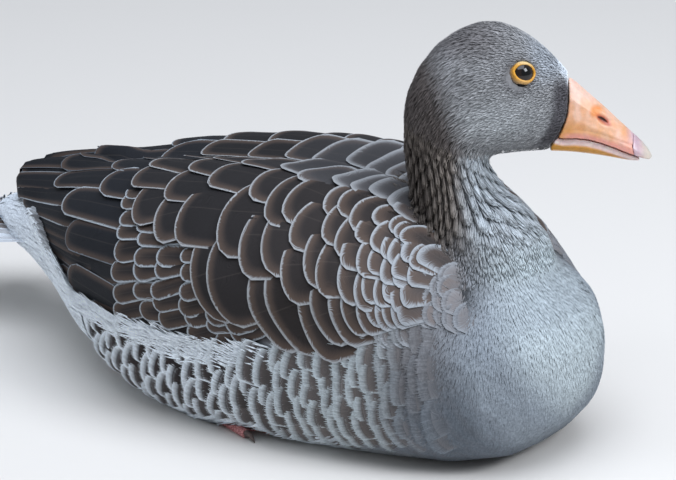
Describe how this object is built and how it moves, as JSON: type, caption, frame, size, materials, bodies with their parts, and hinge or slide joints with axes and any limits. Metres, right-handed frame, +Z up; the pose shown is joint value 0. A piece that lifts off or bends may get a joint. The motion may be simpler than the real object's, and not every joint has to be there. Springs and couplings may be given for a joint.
{
  "type": "domestic goose",
  "caption": "Life-size model of a grey domestic goose resting on its belly, wings folded, neck raised and head turned to its left.",
  "frame": {"origin": "on the floor under the body, on the flat that the belly rests on, in the bird's middle plane", "axes": "+X forward along the body, +Y to the bird's left, +Z up"},
  "size_m": [0.4501, 0.2082, 0.2306],
  "materials": {
    "grey_feathers": "soft matte",
    "breast_feathers": "soft matte",
    "wing_feathers": "soft sheen",
    "tail_feathers": "soft matte",
    "bill_horn": "satin",
    "nail_horn": "satin",
    "eye": "wet gloss",
    "leg_skin": "satin",
    "claw_horn": "satin"
  },
  "bodies": {
    "root": {"head": "grey_feathers", "neck": "grey_feathers", "trunk": "breast_feathers", "tail": "tail_feathers", "bill_upper": "bill_horn", "bill_lower": "bill_horn", "bill_nail": "nail_horn", "eye_right": "eye", "wing_right": "wing_feathers", "wingtip_right": "wing_feathers", "shank_right": "leg_skin", "foot_right": "leg_skin", "claw_outer_right": "claw_horn", "claw_middle_right": "claw_horn", "claw_inner_right": "claw_horn", "claw_hind_right": "claw_horn", "eye_left": "eye", "wing_left": "wing_feathers", "wingtip_left": "wing_feathers", "shank_left": "leg_skin", "foot_left": "leg_skin", "claw_outer_left": "claw_horn", "claw_middle_left": "claw_horn", "claw_inner_left": "claw_horn", "claw_hind_left": "claw_horn"}
  },
  "joints": []
}
